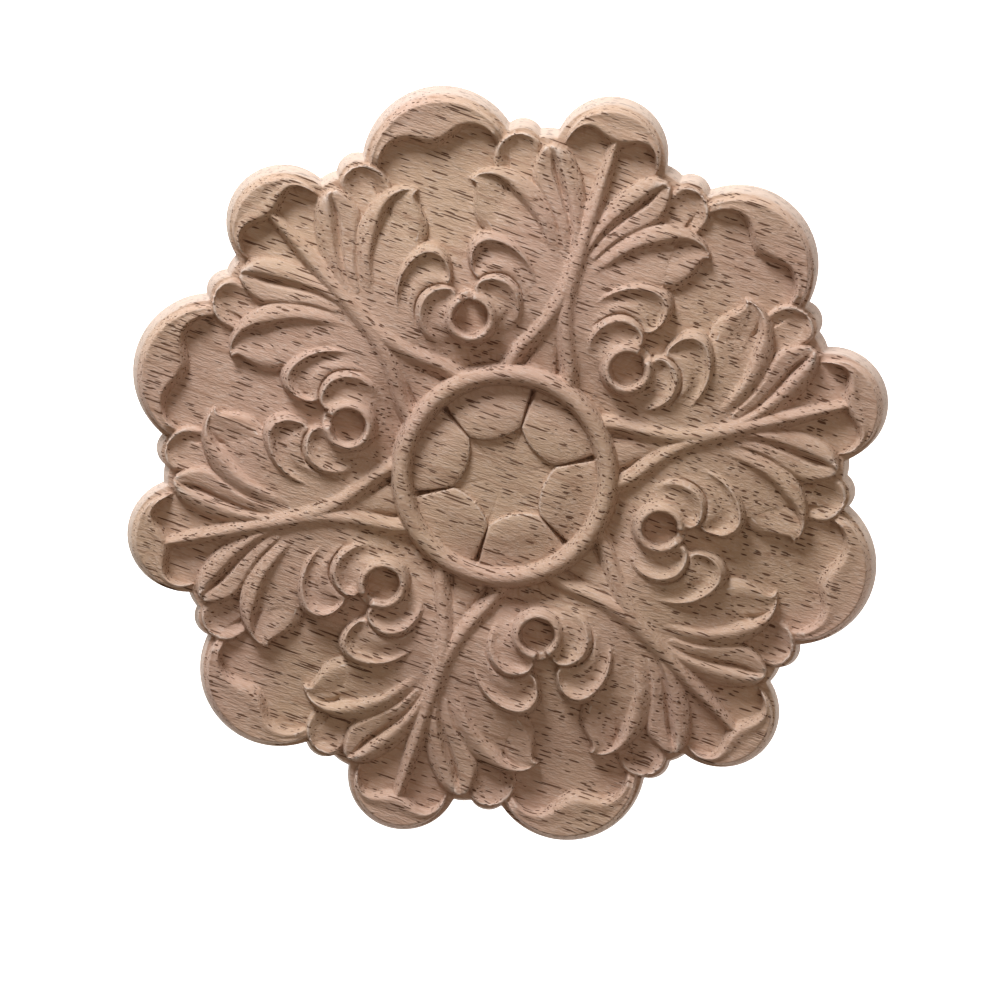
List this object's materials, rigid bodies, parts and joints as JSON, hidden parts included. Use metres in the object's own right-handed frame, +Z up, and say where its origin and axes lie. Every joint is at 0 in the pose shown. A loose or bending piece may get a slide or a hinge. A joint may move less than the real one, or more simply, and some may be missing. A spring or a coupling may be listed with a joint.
{
  "type": "wood applique",
  "caption": "Round carved wooden rosette applique with acanthus leaves round a ringed flower and a scalloped rim, for fixing flat to a wall, door or furniture.",
  "frame": {"origin": "middle of the flat back face", "axes": "+Z up along the axis of a big lobe, +X right, -Y the way the relief faces, +Y into the wall"},
  "size_m": [0.1, 0.0088, 0.1],
  "materials": {
    "wood": "raw, unfinished rubberwood with brown pore streaks"
  },
  "bodies": {
    "root": {"rosette": "wood"}
  },
  "joints": []
}
